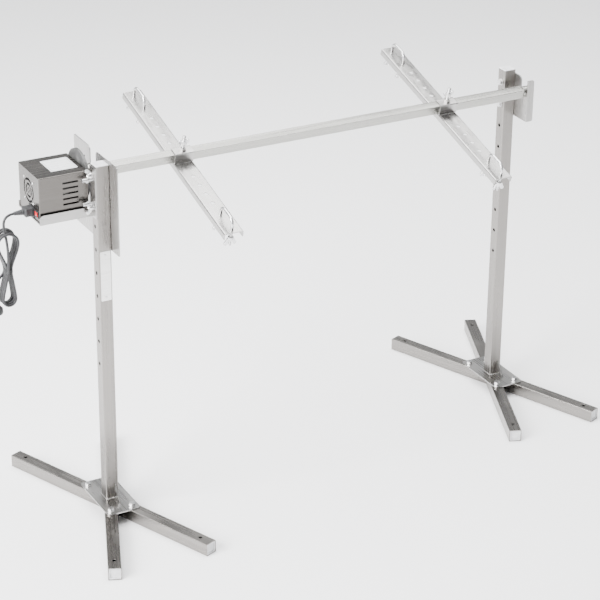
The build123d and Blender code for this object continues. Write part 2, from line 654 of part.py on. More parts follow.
# ---- assembly ----
def build_nodes():
    nodes = {}
    for stand, foot in (("motor", MOTOR_FOOT), ("tail", TAIL_FOOT)):
        nodes[f"{stand}_post"] = post(foot)
        nodes[f"{stand}_base_plate"] = base_plate(foot)
        for place, angle in LEGS.items():
            nodes[f"{stand}_leg_{place}"] = leg(foot, angle)
    nodes["leg_plugs"] = leg_plugs()
    nodes["leg_bolts"] = leg_bolts()
    nodes["post_caps"] = post_caps()
    nodes["gussets"] = gussets()
    nodes["name_plate"] = name_plate()
    nodes["name_plate_rivets"] = name_plate_rivets()
    nodes["heat_shield"] = heat_shield()
    nodes["tray_bracket"] = tray_bracket()
    nodes["carriage_bolts"] = bracket_bolts() + cradle_bolts()
    nodes["bracket_wing_nuts"] = bracket_wing_nuts()
    nodes["motor_cover"] = motor_cover()
    nodes["gearbox"] = gearbox()
    nodes["gearbox_flange"] = gearbox_flange()
    nodes["gearbox_mount"] = gearbox_mount()
    nodes["drive_motor"] = drive_motor()
    nodes["fan_frame"] = fan_frame()
    nodes["cooling_fan"] = cooling_fan()
    nodes["fan_screws"] = fan_screws()
    nodes["rating_sticker"] = rating_sticker()
    nodes["power_inlet"] = power_inlet()
    nodes["switch_housing"] = switch_housing()
    nodes["switch_rocker"] = switch_rocker()
    nodes["drive_socket"] = drive_socket()
    nodes["spit_bar"] = spit_bar()
    nodes["tail_journal"] = tail_journal()
    nodes["cradle"] = cradle()
    for name, x in zip(("motor_end", "tail_end"), ARM_X):
        nodes[f"{name}_arm"] = on_spit(arm_channel(), x)
        nodes[f"{name}_sleeve"] = on_spit(sleeve(), x)
        nodes[f"{name}_wing_screw"] = on_spit(wing_screw(), x)
        for side, centre in (("near", -U_CENTRE), ("far", U_CENTRE)):
            nodes[f"{name}_{side}_u_bolt"] = on_spit(u_bolt(centre), x)
            for place, y in (("inner", -U_HALF), ("outer", U_HALF)):
                offset = y if centre > 0 else -y
                nut = on_spit(u_bolt_nut(centre + offset), x)
                nodes[f"{name}_{side}_nut_{place}"] = nut
    nodes["appliance_plug"] = appliance_plug()
    nodes["cord_lead"] = [cord_tube(LEAD), cord_tube(HANK_TAIL)]
    nodes["cord_hank"] = cord_hank()
    nodes["mains_plug"] = mains_plug()
    return nodes


CORD_NODES = ("appliance_plug", "cord_lead", "cord_hank", "mains_plug")


def as_compound(shape):
    if isinstance(shape, list):
        solids = [s for item in shape for s in item.solids()]
    else:
        solids = shape.solids()
    return Compound(children=solids) if len(solids) > 1 else solids[0]


def main():
    nodes = {name: as_compound(shape) for name, shape in build_nodes().items()}
    held = Compound(children=[s for n, c in nodes.items() if n not in CORD_NODES for s in c.solids()])
    box = held.bounding_box()
    shift = Pos(-(box.min.X + box.max.X) / 2, -(box.min.Y + box.max.Y) / 2, 0)
    print("shift", shift.position, "size", box.size)
    os.makedirs("parts", exist_ok=True)
    for name, shape in nodes.items():
        export_step(shift * shape, f"parts/{name}.step")
    print(len(nodes), "nodes")


main()
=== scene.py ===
import json
import math
import random

import bmesh
import bpy
from mathutils import Matrix, Vector


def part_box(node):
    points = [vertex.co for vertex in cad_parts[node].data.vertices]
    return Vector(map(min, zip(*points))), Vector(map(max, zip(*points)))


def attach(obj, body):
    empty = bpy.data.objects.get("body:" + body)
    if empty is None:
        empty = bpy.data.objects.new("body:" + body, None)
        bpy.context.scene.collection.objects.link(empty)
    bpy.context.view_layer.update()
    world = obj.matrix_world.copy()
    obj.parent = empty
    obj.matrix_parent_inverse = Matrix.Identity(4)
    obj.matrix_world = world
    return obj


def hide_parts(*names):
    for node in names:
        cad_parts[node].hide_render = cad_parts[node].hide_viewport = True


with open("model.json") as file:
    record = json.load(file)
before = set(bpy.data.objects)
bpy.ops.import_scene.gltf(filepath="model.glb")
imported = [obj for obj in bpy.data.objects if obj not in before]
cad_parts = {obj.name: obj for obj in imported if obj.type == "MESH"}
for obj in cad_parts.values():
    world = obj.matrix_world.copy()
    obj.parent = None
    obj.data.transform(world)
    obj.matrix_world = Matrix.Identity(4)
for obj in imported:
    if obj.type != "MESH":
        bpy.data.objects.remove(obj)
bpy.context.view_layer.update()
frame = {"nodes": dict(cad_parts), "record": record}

# A roasting spit on two stands.  Small shapes are drawn in millimetres about a local origin and
# placed by a matrix; everything else is in metres in the frame's own axes.
MM = 0.001
NODES = frame["nodes"]
SLOT_OF = {part["node"]: part["material_slot"] for part in frame["record"]["subparts"]}
STANDS = ("motor", "tail")
ARMS = ("motor_end", "tail_end")
LEG_ANGLE = 68.0
U_CENTRE, U_HALF = 232.0, 28.0
U_ROD_R, U_CORNER, U_FOOT_Z = 3.5, 16.0, -56.0
BAR_HALF = 11.0
WEB_TOP = -13.5
U_TOP = WEB_TOP + 27.0 - U_ROD_R
NUT_SEAT_Z = -33.3
SLEEVE_HALF = 13.5
WELD_HALF = 21.5
CORD_D = 6.0


def centre(node):
    low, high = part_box(node)
    return (low + high) / 2


POST = centre("motor_post")
TAIL = centre("tail_post")
SPIT = centre("spit_bar")
SPIT_TURN = math.radians(16.3)


def at(x, y, z):
    """A point given in millimetres from the foot of the motor post."""
    return Vector((POST.x + x * MM, POST.y + y * MM, z * MM))


def place(point, turn=None):
    """A matrix that puts a shape drawn in millimetres at a point, in metres."""
    turn = turn or Matrix.Identity(4)
    return Matrix.Translation(point) @ turn @ Matrix.Scale(MM, 4)


def on_spit(x, y=0.0, z=0.0):
    """The matrix of a shape drawn about the spit axis, at an X in metres."""
    turn = Matrix.Rotation(SPIT_TURN, 4, "X")
    return place(Vector((x, SPIT.y, SPIT.z)), turn) @ Matrix.Translation((0, y, z))


# ---- camera, floor and light ----
def make_camera():
    azimuth, elevation, roll = (math.radians(a) for a in (-28.476, 25.260, 0.554))
    level = math.cos(elevation)
    back = Vector((math.sin(azimuth) * level, -math.cos(azimuth) * level, math.sin(elevation)))
    right = Vector((math.cos(azimuth), math.sin(azimuth), 0))
    up = back.cross(right)
    rolled_right = right * math.cos(roll) + up * math.sin(roll)
    rolled_up = up * math.cos(roll) - right * math.sin(roll)
    data = bpy.data.cameras.new("camera")
    data.sensor_width = 36.0
    data.lens = 133.03
    data.clip_end = 60.0
    camera = bpy.data.objects.new("camera", data)
    turn = Matrix((rolled_right, rolled_up, back)).transposed().to_4x4()
    camera.matrix_world = Matrix.Translation(at(-1726.3, -4089.1, 2617.5)) @ turn
    bpy.context.scene.collection.objects.link(camera)
    bpy.context.scene.camera = camera


def make_floor():
    mesh = bpy.data.meshes.new("floor")
    half = 15.0
    corners = [(-half, -half, 0), (half, -half, 0), (half, half, 0), (-half, half, 0)]
    mesh.from_pydata(corners, [], [(0, 1, 2, 3)])
    floor = bpy.data.objects.new("floor", mesh)
    bpy.context.scene.collection.objects.link(floor)
    material = bpy.data.materials.new("floor_paint")
    material.use_nodes = True
    shader = material.node_tree.nodes["Principled BSDF"]
    shader.inputs["Base Color"].default_value = (0.93, 0.93, 0.935, 1)
    shader.inputs["Roughness"].default_value = 0.9
    shader.inputs["Specular IOR Level"].default_value = 0.1
    mesh.materials.append(material)


def area_light(name, location, target, size, power, tint=(1, 1, 1)):
    data = bpy.data.lights.new(name, "AREA")
    data.shape = "RECTANGLE"
    data.size, data.size_y = size
    data.energy = power
    data.color = tint
    light = bpy.data.objects.new(name, data)
    aim = (Vector(target) - Vector(location)).to_track_quat("-Z", "Y")
    light.matrix_world = Matrix.Translation(location) @ aim.to_matrix().to_4x4()
    bpy.context.scene.collection.objects.link(light)


def make_lights():
    area_light("left_softbox", (-4.2, -1.0, 2.6), (0, 0, 0.6), (3.2, 2.6), 820)
    area_light("top_softbox", (0.2, 0.6, 4.2), (0, 0, 0.3), (4.5, 3.5), 520)
    area_light("front_fill", (1.6, -4.6, 2.2), (0, 0, 0.5), (2.2, 2.2), 12, (1.0, 0.98, 0.96))
    world = bpy.data.worlds.new("studio")
    world.use_nodes = True
    bpy.context.scene.world = world
    tree = world.node_tree
    background = tree.nodes["Background"]
    # A studio that is brighter behind and to the left and dimmer in front, for the metal to mirror.
    where = tree.nodes.new("ShaderNodeTexCoord")
    parts = tree.nodes.new("ShaderNodeSeparateXYZ")
    tree.links.new(where.outputs["Generated"], parts.inputs[0])
    front = tree.nodes.new("ShaderNodeMapRange")
    front.interpolation_type = "SMOOTHSTEP"
    for name, value in (("From Min", -1.0), ("From Max", 0.3), ("To Min", 0.25), ("To Max", 1.0)):
        front.inputs[name].default_value = value
    tree.links.new(parts.outputs["Y"], front.inputs["Value"])
    left = tree.nodes.new("ShaderNodeMapRange")
    left.interpolation_type = "SMOOTHSTEP"
    for name, value in (("From Min", -1.0), ("From Max", 0.6), ("To Min", 1.15), ("To Max", 0.75)):
        left.inputs[name].default_value = value
    tree.links.new(parts.outputs["X"], left.inputs["Value"])
    product = tree.nodes.new("ShaderNodeMath")
    product.operation = "MULTIPLY"
    tree.links.new(front.outputs[0], product.inputs[0])
    tree.links.new(left.outputs[0], product.inputs[1])
    tree.links.new(product.outputs[0], background.inputs["Strength"])
    background.inputs["Color"].default_value = (0.97, 0.985, 1.0, 1)


# ---- materials ----
def blank_material(name):
    material = bpy.data.materials.new(name)
    material.use_nodes = True
    tree = material.node_tree
    return material, tree, tree.nodes["Principled BSDF"]


def noise(tree, vector, scale, detail=3.0, rough=0.55):
    node = tree.nodes.new("ShaderNodeTexNoise")
    node.inputs["Scale"].default_value = scale
    node.inputs["Detail"].default_value = detail
    node.inputs["Roughness"].default_value = rough
    tree.links.new(vector, node.inputs["Vector"])
    return node.outputs["Fac"]


def ramp(tree, value, stops):
    node = tree.nodes.new("ShaderNodeValToRGB")
    elements = node.color_ramp.elements
    while len(elements) < len(stops):
        elements.new(0.5)
    for element, (position, colour) in zip(elements, stops):
        element.position = position
        element.color = (*colour, 1)
    tree.links.new(value, node.inputs["Fac"])
    return node.outputs["Color"]


def spread(tree, value, low, high):
    """Maps a noise's middle half onto low to high."""
    node = tree.nodes.new("ShaderNodeMapRange")
    node.inputs["From Min"].default_value = 0.3
    node.inputs["From Max"].default_value = 0.7
    node.inputs["To Min"].default_value = low
    node.inputs["To Max"].default_value = high
    tree.links.new(value, node.inputs["Value"])
    return node.outputs["Result"]


def bump(tree, shader, height, strength, distance, under=None):
    node = tree.nodes.new("ShaderNodeBump")
    node.inputs["Strength"].default_value = strength
    node.inputs["Distance"].default_value = distance
    tree.links.new(height, node.inputs["Height"])
    if under:
        tree.links.new(under, node.inputs["Normal"])
    tree.links.new(node.outputs["Normal"], shader.inputs["Normal"])
    return node.outputs["Normal"]


def mix_colour(tree, factor, first, second, mode="MIX"):
    node = tree.nodes.new("ShaderNodeMix")
    node.data_type = "RGBA"
    node.blend_type = mode
    for socket, value in ((node.inputs[0], factor), (node.inputs[6], first), (node.inputs[7], second)):
        if isinstance(value, bpy.types.NodeSocket):
            tree.links.new(value, socket)
        else:
            socket.default_value = value
    return node.outputs[2]


def scaled_place(tree, scale, turn=(0, 0, 0)):
    """Object coordinates, turned and then stretched, for grain that runs one way."""
    where = tree.nodes.new("ShaderNodeTexCoord")
    turned = tree.nodes.new("ShaderNodeMapping")
    turned.vector_type = "POINT"
    turned.inputs["Rotation"].default_value = turn
    stretched = tree.nodes.new("ShaderNodeMapping")
    stretched.inputs["Scale"].default_value = scale
    tree.links.new(where.outputs["Object"], turned.inputs["Vector"])
    tree.links.new(turned.outputs["Vector"], stretched.inputs["Vector"])
    return stretched.outputs["Vector"]


def soft_edges(tree, radius):
    """A small rounding of every edge in the shading, as deburred sheet and tube have."""
    node = tree.nodes.new("ShaderNodeBevel")
    node.samples = 4
    node.inputs["Radius"].default_value = radius
    return node.outputs["Normal"]


def brushed_steel(name, tone, rough, turn=(0, 0, 0), grain=1.0, edge=0.0006):
    """Brushed stainless: hairline grain along local X, cloudy tone, faint smears and handling marks."""
    material, tree, shader = blank_material(name)
    hair = noise(tree, scaled_place(tree, (6, 1500, 1500), turn), 1.0, 2.0)
    streak = noise(tree, scaled_place(tree, (2.2, 160, 160), turn), 1.0, 4.0)
    cloud = noise(tree, scaled_place(tree, (1, 1, 1), turn), 9.0, 3.0)
    smear = noise(tree, scaled_place(tree, (9, 26, 26), turn), 1.0, 5.0, 0.65)
    dark = tuple(c * 0.86 for c in tone)
    light = tuple(min(c * 1.07, 1) for c in tone)
    colour = ramp(tree, streak, ((0.30, dark), (0.52, tone), (0.75, light)))
    colour = mix_colour(tree, spread(tree, cloud, 0.0, 0.35), colour, (*light, 1))
    hairs = ramp(tree, hair, ((0.3, (0.93, 0.93, 0.93)), (0.7, (1, 1, 1))))
    colour = mix_colour(tree, 1.0, colour, hairs, "MULTIPLY")
    tree.links.new(colour, shader.inputs["Base Color"])
    shader.inputs["Metallic"].default_value = 1.0
    total = tree.nodes.new("ShaderNodeMath")
    total.operation = "ADD"
    tree.links.new(spread(tree, streak, rough - 0.05, rough + 0.05), total.inputs[0])
    tree.links.new(spread(tree, smear, -0.03, 0.08), total.inputs[1])
    tree.links.new(total.outputs[0], shader.inputs["Roughness"])
    shader.inputs["Anisotropic"].default_value = 0.45
    edges = soft_edges(tree, edge)
    first = bump(tree, shader, streak, 0.10 * grain, 0.0006, edges)
    bump(tree, shader, hair, 0.16 * grain, 0.0001, first)
    return material


def cast_metal(name, tone):
    """Sand-cast alloy: pitted grain, darker hollows and rubbed high spots."""
    material, tree, shader = blank_material(name)
    grain = noise(tree, scaled_place(tree, (1, 1, 1)), 900, 4.0, 0.6)
    patch = noise(tree, scaled_place(tree, (1, 1, 1)), 60, 4.0)
    dark = tuple(c * 0.6 for c in tone)
    light = tuple(c * 1.5 for c in tone)
    colour = ramp(tree, patch, ((0.3, dark), (0.55, tone), (0.78, light)))
    tree.links.new(colour, shader.inputs["Base Color"])
    shader.inputs["Metallic"].default_value = 0.8
    tree.links.new(spread(tree, patch, 0.42, 0.62), shader.inputs["Roughness"])
    bump(tree, shader, grain, 0.5, 0.0003, soft_edges(tree, 0.0008))
    return material


def plated_steel(name, tone):
    """Bright zinc plate on fasteners: cloudy tone, fine pitting and a slightly uneven sheen."""
    material, tree, shader = blank_material(name)
    fine = noise(tree, scaled_place(tree, (1, 1, 1)), 1400, 2.0)
    patch = noise(tree, scaled_place(tree, (1, 1, 1)), 110, 4.0)
    dark = tuple(c * 0.80 for c in tone)
    warm = (tone[0] * 1.08, tone[1] * 1.05, tone[2] * 1.0)
    colour = ramp(tree, patch, ((0.28, dark), (0.5, tone), (0.75, warm)))
    tree.links.new(colour, shader.inputs["Base Color"])
    shader.inputs["Metallic"].default_value = 1.0
    tree.links.new(spread(tree, patch, 0.22, 0.36), shader.inputs["Roughness"])
    bump(tree, shader, fine, 0.12, 0.0001, soft_edges(tree, 0.0004))
    return material


def plastic(name, tone, rough, texture=0.25, coat=0.0):
    """Moulded plastic: fine spark texture, faint scuffs and slight mottling."""
    material, tree, shader = blank_material(name)
    fine = noise(tree, scaled_place(tree, (1, 1, 1)), 1800, 2.0)
    patch = noise(tree, scaled_place(tree, (1, 1, 1)), 70, 5.0)
    dark = tuple(c * 0.85 for c in tone)
    light = tuple(min(c * 1.18 + 0.004, 1) for c in tone)
    colour = ramp(tree, patch, ((0.3, dark), (0.5, tone), (0.75, light)))
    tree.links.new(colour, shader.inputs["Base Color"])
    tree.links.new(spread(tree, patch, rough - 0.06, rough + 0.08), shader.inputs["Roughness"])
    shader.inputs["Coat Weight"].default_value = coat
    shader.inputs["Coat Roughness"].default_value = 0.12
    bump(tree, shader, fine, texture, 0.00012, soft_edges(tree, 0.0005))
    return material


def rubber(name):
    """Satin black sheath with a faint bloom and an extruded ripple."""
    material, tree, shader = blank_material(name)
    bloom = noise(tree, scaled_place(tree, (1, 1, 1)), 45, 5.0, 0.6)
    fine = noise(tree, scaled_place(tree, (1, 1, 1)), 1300, 2.0)
    black, satin, dusty = (0.012, 0.012, 0.013), (0.022, 0.022, 0.024), (0.05, 0.05, 0.053)
    colour = ramp(tree, bloom, ((0.3, black), (0.6, satin), (0.85, dusty)))
    tree.links.new(colour, shader.inputs["Base Color"])
    tree.links.new(spread(tree, bloom, 0.36, 0.52), shader.inputs["Roughness"])
    shader.inputs["Sheen Weight"].default_value = 0.08
    bump(tree, shader, fine, 0.2, 0.0001)
    return material


def label_film(name):
    """Silvered film label, blank, with a printed frame and rules."""
    material, tree, shader = blank_material(name)
    patch = noise(tree, scaled_place(tree, (1, 1, 1)), 120, 4.0)
    colour = ramp(tree, patch, ((0.3, (0.78, 0.79, 0.80)), (0.7, (0.90, 0.91, 0.92))))
    tree.links.new(colour, shader.inputs["Base Color"])
    shader.inputs["Metallic"].default_value = 0.25
    tree.links.new(spread(tree, patch, 0.28, 0.40), shader.inputs["Roughness"])
    bump(tree, shader, patch, 0.08, 0.0002)
    return material


def ink(name, tone):
    material, tree, shader = blank_material(name)
    patch = noise(tree, scaled_place(tree, (1, 1, 1)), 600, 3.0)
    dark = tuple(c * 0.8 for c in tone)
    tree.links.new(ramp(tree, patch, ((0.3, dark), (0.7, tone))), shader.inputs["Base Color"])
    tree.links.new(spread(tree, patch, 0.40, 0.55), shader.inputs["Roughness"])
    return material


QUARTER = math.pi / 2
STEEL = (0.27, 0.256, 0.242)
SHEET = (0.42, 0.412, 0.402)


def make_materials():
    """Every finish on the object.  A turn of the grain lays its local X along the piece."""
    leaning = math.radians(LEG_ANGLE)
    made = {
        "post": brushed_steel("stand_steel_upright", STEEL, 0.27, (0, QUARTER, 0)),
        "leg_rising": brushed_steel("stand_steel_leg_a", STEEL, 0.25, (0, 0, -leaning)),
        "leg_falling": brushed_steel("stand_steel_leg_b", STEEL, 0.25, (0, 0, leaning)),
        "sheet_up": brushed_steel("plate_steel_upright", SHEET, 0.26, (0, QUARTER, 0)),
        "sheet_x": brushed_steel("plate_steel_lengthwise", SHEET, 0.28),
        "sheet_y": brushed_steel("plate_steel_crosswise", SHEET, 0.27, (0, 0, -QUARTER)),
        "cover": brushed_steel("plate_steel_cover", (0.135, 0.126, 0.118), 0.22, (0, 0, 0), 1.2),
        "arm": brushed_steel("plate_steel_arm", SHEET, 0.26, (0, 0, -QUARTER)),
        "spit": brushed_steel("spit_steel", (0.38, 0.376, 0.355), 0.25),
        "weld": plated_steel("weld_bead", (0.55, 0.54, 0.53)),
        "fastener": plated_steel("fastener_steel", (0.70, 0.70, 0.705)),
        "cast": cast_metal("cast_metal", (0.11, 0.11, 0.108)),
        "motor": plastic("motor_enamel", (0.03, 0.03, 0.032), 0.3, 0.1, 0.4),
        "cap": plastic("cap_plastic", (0.66, 0.66, 0.67), 0.42),
        "black": plastic("black_plastic", (0.02, 0.02, 0.021), 0.42, 0.3),
        "red": plastic("rocker_plastic", (0.55, 0.012, 0.018), 0.22, 0.05, 0.6),
        "rubber": rubber("cord_rubber"),
        "label": label_film("label_film"),
        "name_plate": brushed_steel("name_plate_metal", (0.90, 0.89, 0.88), 0.40, (0, 0, 0), 0.7, 0.0002),
        "ink": ink("label_ink", (0.25, 0.26, 0.28)),
    }
    return made


def material_for(node):
    slot = SLOT_OF[node]
    if "_leg_" in node:
        rising = node.endswith(("front_left", "back_right"))
        return MATERIALS["leg_rising" if rising else "leg_falling"]
    if slot == "stand_steel":
        return MATERIALS["post"]
    if node in ("heat_shield", "cradle"):
        return MATERIALS["sheet_up"]
    if node in ("motor_base_plate", "tail_base_plate"):
        return MATERIALS["sheet_y"]
    if node == "motor_cover":
        return MATERIALS["cover"]
    if node.endswith("_arm"):
        return MATERIALS["arm"]
    if slot == "plate_steel":
        return MATERIALS["sheet_x"]
    by_slot = {
        "spit_steel": "spit", "fastener_steel": "fastener", "cast_metal": "cast", "motor_steel": "motor",
        "cap_plastic": "cap", "black_plastic": "black", "rocker_plastic": "red", "cord_rubber": "rubber",
        "label_film": "label", "name_plate_metal": "name_plate",
    }
    return MATERIALS[by_slot[slot]]


def finish_nodes():
    """Gives every CAD node its detailed material."""
    for name, node in NODES.items():
        if not node.material_slots:
            node.data.materials.append(None)
        for holder in node.material_slots:
            holder.material = material_for(name)


# ---- mesh helpers ----
def piece(name, mesh, material, body, smooth=True):
    made = bpy.data.objects.new(name, mesh)
    bpy.context.scene.collection.objects.link(made)
    mesh.materials.clear()
    mesh.materials.append(material)
    for face in mesh.polygons:
        face.use_smooth = smooth
    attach(made, body)
    return made


def from_bmesh(name, shape, matrix=None):
    if matrix:
        shape.transform(matrix)
    bmesh.ops.recalc_face_normals(shape, faces=shape.faces)
    mesh = bpy.data.meshes.new(name)
    shape.to_mesh(mesh)
    shape.free()
    return mesh


def rings_to_mesh(shape, rings, close_ends=True):
    """Skins a list of equal rings of points."""
    rows = [[shape.verts.new(p) for p in ring] for ring in rings]
    count = len(rows[0])
    for lower, upper in zip(rows, rows[1:]):
        for i in range(count):
            j = (i + 1) % count
            shape.faces.new((lower[i], lower[j], upper[j], upper[i]))
    if close_ends:
        shape.faces.new(reversed(rows[0]))
        shape.faces.new(rows[-1])


def lathe(profile, steps=48):
    """A round shape on the Z axis from (radius, z) pairs, in millimetres."""
    shape = bmesh.new()
    rings = []
    for radius, z in profile:
        angles = [2 * math.pi * i / steps for i in range(steps)]
        rings.append([(radius * math.cos(a), radius * math.sin(a), z) for a in angles])
    rings_to_mesh(shape, rings)
    return shape


def thread_depth(angle, z, pitch, depth):
    phase = (z / pitch + angle / (2 * math.pi)) % 1.0
    return depth * (1 - abs(2 * phase - 1))


def rod_rings(centres, normals, radius, steps, threaded, pitch=1.25, depth=0.45):
    """Rings round a path in the YZ plane, with a helical thread where threaded is true."""
    rings = []
    for (y, z), (ny, nz), cut in zip(centres, normals, threaded):
        ring = []
        for i in range(steps):
            angle = 2 * math.pi * i / steps
            r = radius - (thread_depth(angle, z, pitch, depth) if cut else 0.0)
            ring.append((r * math.sin(angle), y + r * math.cos(angle) * ny, z + r * math.cos(angle) * nz))
        rings.append(ring)
    return rings


def apply_modifiers(made):
    bpy.context.view_layer.update()
    graph = bpy.context.evaluated_depsgraph_get()
    mesh = bpy.data.meshes.new_from_object(made.evaluated_get(graph))
    made.modifiers.clear()
    made.data = mesh
    return mesh


def melted(shape, voxel, smoothing=4, ratio=None):
    """Joins the overlapping solids of a mesh into one cast-looking skin."""
    mesh = from_bmesh("melt", shape)
    holder = bpy.data.objects.new("melt", mesh)
    bpy.context.scene.collection.objects.link(holder)
    remesh = holder.modifiers.new("remesh", "REMESH")
    remesh.mode = "VOXEL"
    remesh.voxel_size = voxel
    smooth = holder.modifiers.new("smooth", "SMOOTH")
    smooth.iterations = smoothing
    smooth.factor = 0.5
    if ratio:
        thin = holder.modifiers.new("thin", "DECIMATE")
        thin.ratio = ratio
    result = apply_modifiers(holder)
    bpy.data.objects.remove(holder)
    return result


def add_outline(shape, outline, half):
    """A flat blade in the XZ plane with the given outline, 2 * half thick in Y."""
    front = [shape.verts.new((x, -half, z)) for x, z in outline]
    rear = [shape.verts.new((x, half, z)) for x, z in outline]
    count = len(outline)
    shape.faces.new(front)
    shape.faces.new(reversed(rear))
    for i in range(count):
        j = (i + 1) % count
        shape.faces.new((front[j], front[i], rear[i], rear[j]))


# ---- wing nuts and wing screws ----
def wing_outline(side, reach, low, high):
    """A wing that leans outwards and ends in a round lobe."""
    points = []
    lobe = 4.4
    cx, cz = reach - lobe, high - lobe
    for i in range(13):
        angle = math.radians(-60 + 20 * i)
        points.append((cx + lobe * math.cos(angle), cz + lobe * math.sin(angle)))
    points.append((2.0, low + 5.5))
    points.append((2.0, low))
    points.append((reach * 0.52, low + 0.5))
    return [(side * x, z) for x, z in points]


def wing_nut_shape(hub, hub_height, reach, height):
    """Cast wing nut, seat at z = 0, in millimetres; the bore is cut after the cast skin is made."""
    top = hub_height * 1.4
    shape = lathe(((0.01, 0), (hub, 0), (hub, hub_height * 0.75), (hub * 0.72, top), (0.01, top)), 32)
    for side in (-1, 1):
        add_outline(shape, wing_outline(side, reach, hub_height * 0.35, height), 1.7)
    bmesh.ops.recalc_face_normals(shape, faces=shape.faces)
    return shape


def bored(mesh, radius, low, high):
    """Cuts a round hole on the Z axis through a closed mesh."""
    drill = from_bmesh("drill", lathe(((radius, low), (radius, high)), 40))
    cutter = bpy.data.objects.new("drill", drill)
    holder = bpy.data.objects.new("bored", mesh)
    for made in (cutter, holder):
        bpy.context.scene.collection.objects.link(made)
    cut = holder.modifiers.new("bore", "BOOLEAN")
    cut.operation = "DIFFERENCE"
    cut.solver = "EXACT"
    cut.object = cutter
    result = apply_modifiers(holder)
    for made in (cutter, holder):
        bpy.data.objects.remove(made)
    return result


def placed_copy(mesh, name, matrix):
    copy = mesh.copy()
    copy.name = name
    copy.transform(matrix)
    return copy


def make_wing_nuts():
    """Eight on the U-bolts and two on the carriage bolts."""
    small = bored(melted(wing_nut_shape(6.5, 8.0, 15.5, 22.0), 0.55, 5, 0.35), 3.55, -5, 30)
    turn_over = Matrix.Rotation(math.pi, 4, "X")
    for arm in ARMS:
        x = centre(f"{arm}_arm").x
        for side, sign in (("near", -1), ("far", 1)):
            for place_name, offset in (("inner", -U_HALF), ("outer", U_HALF)):
                node = f"{arm}_{side}_nut_{place_name}"
                y = sign * (U_CENTRE + offset)
                matrix = on_spit(x, y, NUT_SEAT_Z) @ turn_over
                copy = placed_copy(small, node, matrix)
                nut = piece(f"{node}_cast", copy, MATERIALS["fastener"], node)
                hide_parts(node)
    large = bored(melted(wing_nut_shape(7.0, 8.0, 16.0, 17.0), 0.55, 5, 0.35), 4.0, -5, 30)
    low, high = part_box("bracket_wing_nuts")
    seat = high.x
    half = 7.0 * MM
    joined = bmesh.new()
    for z in (low.z + half, high.z - half):
        spot = Vector((seat, POST.y, z))
        joined.from_mesh(placed_copy(large, "nut", place(spot, Matrix.Rotation(-QUARTER, 4, "Y"))))
    mesh = from_bmesh("bracket_wing_nuts_cast", joined)
    nuts = piece("bracket_wing_nuts_cast", mesh, MATERIALS["fastener"], "root")
    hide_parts("bracket_wing_nuts")


def make_wing_screws():
    """The screws that lock the sleeves on the bar: a threaded shank with a cast wing head."""
    for arm in ARMS:
        node = f"{arm}_wing_screw"
        x = centre(node).x
        head = wing_nut_shape(6.5, 9.0, 14.0, 15.0)
        mesh = melted(head, 0.55, 5, 0.35)
        matrix = on_spit(x, 0, 26.0)
        copy = placed_copy(mesh, node, matrix)
        cast = piece(f"{node}_head", copy, MATERIALS["fastener"], node)
        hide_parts(node)
        zs = [BAR_HALF + 0.15 + 0.2 * i for i in range(194)]
        rings = rod_rings([(0, z) for z in zs], [(1, 0)] * len(zs), 4.0, 28, [z < 49.2 for z in zs])
        shank = bmesh.new()
        rings_to_mesh(shank, rings)
        rod = from_bmesh("shank", shank, on_spit(x))
        shank_piece = piece(f"{node}_shank", rod, MATERIALS["fastener"], node)
        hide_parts(node)


# ---- U-bolts ----
def u_bolt_path():
    """Centres, in-plane normals and threading of a U-bolt about its own middle."""
    half = []
    thread_top = -16.0
    z = U_FOOT_Z
    while z < U_TOP - U_CORNER:
        half.append(((-U_HALF, z), (1.0, 0.0), z < thread_top))
        z += 0.2 if z < thread_top else 2.0
    steps = 14
    for i in range(steps + 1):
        angle = QUARTER * i / steps
        y = -U_HALF + U_CORNER * (1 - math.cos(angle))
        z = U_TOP - U_CORNER * (1 - math.sin(angle))
        half.append(((y, z), (math.cos(angle), -math.sin(angle)), False))
    other = [((-y, z), (-across, along), cut) for (y, z), (across, along), cut in reversed(half)]
    centres, normals, threaded = zip(*(half + other))
    return centres, normals, threaded


def make_u_bolts():
    for arm in ARMS:
        x = centre(f"{arm}_arm").x
        for side, sign in (("near", -1), ("far", 1)):
            node = f"{arm}_{side}_u_bolt"
            shape = bmesh.new()
            centres, normals, threaded = u_bolt_path()
            rings_to_mesh(shape, rod_rings(centres, normals, U_ROD_R, 24, threaded, 1.0))
            mesh = from_bmesh(node, shape, on_spit(x, sign * U_CENTRE))
            bolt = piece(f"{node}_rod", mesh, MATERIALS["fastener"], node)
            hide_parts(node)


# ---- weld beads ----
def weld_bead(start, end, size, seed):
    """A rippled fillet bead between two points in metres."""
    rng = random.Random(seed)
    start, end = Vector(start), Vector(end)
    along = (end - start).normalized()
    side = along.orthogonal().normalized()
    other = along.cross(side)
    length = (end - start).length
    pitch = 0.0016
    steps = max(6, int(length / (pitch / 4)))
    rings = []
    for i in range(steps + 1):
        t = i / steps
        ripple = 0.86 + 0.14 * abs(math.sin(math.pi * t * length / pitch))
        taper = min(1.0, 6 * t + 0.35, 6 * (1 - t) + 0.35)
        radius = size * ripple * taper * rng.uniform(0.96, 1.04)
        middle = start + along * (length * t)
        ring = []
        for k in range(10):
            angle = 2 * math.pi * k / 10
            ring.append(middle + (side * math.cos(angle) + other * math.sin(angle)) * radius)
        rings.append(ring)
    shape = bmesh.new()
    rings_to_mesh(shape, rings)
    return shape


def make_beads(name, lines, size, body):
    joined = bmesh.new()
    for seed, (start, end) in enumerate(lines):
        bead = weld_bead(start, end, size, seed + len(name))
        mesh = bpy.data.meshes.new("bead")
        bead.to_mesh(mesh)
        bead.free()
        joined.from_mesh(mesh)
    piece(name, from_bmesh(name, joined), MATERIALS["weld"], body)


